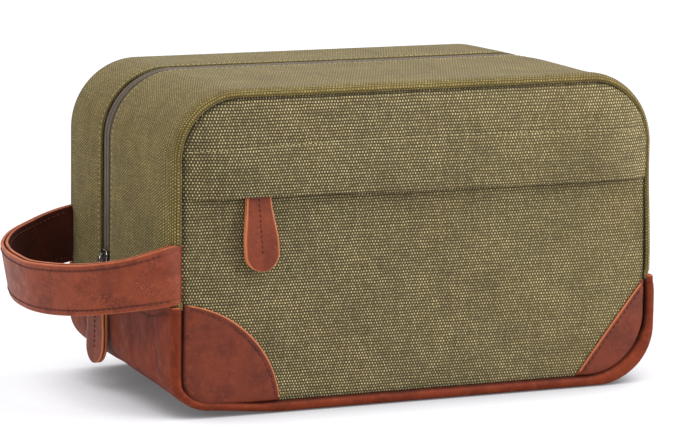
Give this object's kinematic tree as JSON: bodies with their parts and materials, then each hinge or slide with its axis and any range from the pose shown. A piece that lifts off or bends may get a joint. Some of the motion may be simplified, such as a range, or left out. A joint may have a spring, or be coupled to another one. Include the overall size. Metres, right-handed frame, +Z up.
{
  "type": "toiletry bag",
  "caption": "Soft canvas wash bag on a leather base, with a zipped mouth, a zipped front pocket under a placket and a leather carrying loop at one end",
  "frame": {"origin": "middle of the bag's flat underside, where it stands", "axes": "+X along the bag to its plain end, -Y out of the front pocket, +Z up; the carrying loop is on the -X end"},
  "size_m": [0.3311, 0.1592, 0.164],
  "materials": {
    "canvas": "olive-green waxed canvas with a coarse two-tone weave",
    "leather": "reddish brown pull-up leather, slightly waxy, paler at cut edges",
    "dark_leather": "dark brown flesh side of the strap",
    "lining": "plain dark grey woven lining",
    "binding": "dark twill seam tape",
    "board": "black stiffening board",
    "pocket_wall": "padded cloth wall",
    "zip_tape": "dark grey-brown woven zip tape",
    "zip_teeth": "grey-brown nylon coil",
    "dark_metal": "dark antiqued nickel",
    "strap_core": "webbing between the strap's two leathers"
  },
  "bodies": {
    "bag_body": {"gusset_front": "canvas", "gusset_back_lower_left": "canvas", "gusset_back_lower_right": "canvas", "front_pocket_panel": "canvas", "front_placket": "canvas", "back_panel_lower": "canvas", "leather_base": "leather", "corner_patch_front_left": "leather", "corner_patch_front_right": "leather", "corner_patch_back_left": "leather", "corner_patch_back_right": "leather", "handle_end_front": "leather", "handle_end_back": "leather", "lining_tub": "lining", "gusset_lining_front": "lining", "front_lining": "lining", "back_lining_lower": "lining", "seam_binding_front": "binding", "seam_binding_back_lower": "binding", "base_board": "board", "pocket_back_wall": "pocket_wall", "main_zip_tape_front": "zip_tape", "main_zip_foot_back_left": "zip_tape", "main_zip_foot_back_right": "zip_tape", "pocket_zip_tape_lower": "zip_tape", "pocket_zip_tape_upper": "zip_tape", "main_zip_teeth_front": "zip_teeth", "pocket_zip_teeth_lower": "zip_teeth", "pocket_zip_teeth_upper": "zip_teeth", "main_zip_stop_left": "dark_metal", "main_zip_stop_right": "dark_metal", "pocket_zip_stop_left": "dark_metal", "pocket_zip_stop_right": "dark_metal"},
    "back_half": {"gusset_back_upper": "canvas", "gusset_lining_back": "lining", "seam_binding_back_upper": "binding", "back_panel_upper": "canvas", "back_lining_upper": "lining", "main_zip_teeth_back": "zip_teeth", "main_zip_tape_back": "zip_tape"},
    "main_slider": {"main_slider": "dark_metal"},
    "main_ring": {"main_pull_ring": "dark_metal"},
    "main_tab": {"main_pull_tab": "leather"},
    "pocket_slider": {"pocket_slider": "dark_metal", "pocket_pull_ring": "dark_metal", "pocket_pull_tab": "leather"},
    "carry_loop": {"handle_outer_leather": "leather", "handle_inner_leather": "dark_leather", "handle_core": "strap_core"}
  },
  "joints": [
    {"name": "mouth_open", "type": "hinge", "parent": "bag_body", "child": "back_half", "pos_m": [0, 0.0778, 0.089], "axis": [-1, 0, 0], "range_deg": [0, 25]},
    {"name": "main_slider_run", "type": "slide", "parent": "bag_body", "child": "main_slider", "axis": [0, 0, 1], "range_m": [0, 0.052]},
    {"name": "main_ring_swing", "type": "hinge", "parent": "main_slider", "child": "main_ring", "pos_m": [-0.1368, 0.02, 0.065], "axis": [0, 1, 0], "range_deg": [0, 35]},
    {"name": "main_tab_swing", "type": "hinge", "parent": "main_ring", "child": "main_tab", "pos_m": [-0.1368, 0.02, 0.0561], "axis": [0, 1, 0], "range_deg": [0, 15]},
    {"name": "pocket_slider_run", "type": "slide", "parent": "bag_body", "child": "pocket_slider", "axis": [1, 0, 0], "range_m": [0, 0.17]},
    {"name": "loop_swing", "type": "hinge", "parent": "bag_body", "child": "carry_loop", "pos_m": [-0.1365, 0, 0.073], "axis": [0, 1, 0], "range_deg": [-20, 50]}
  ]
}
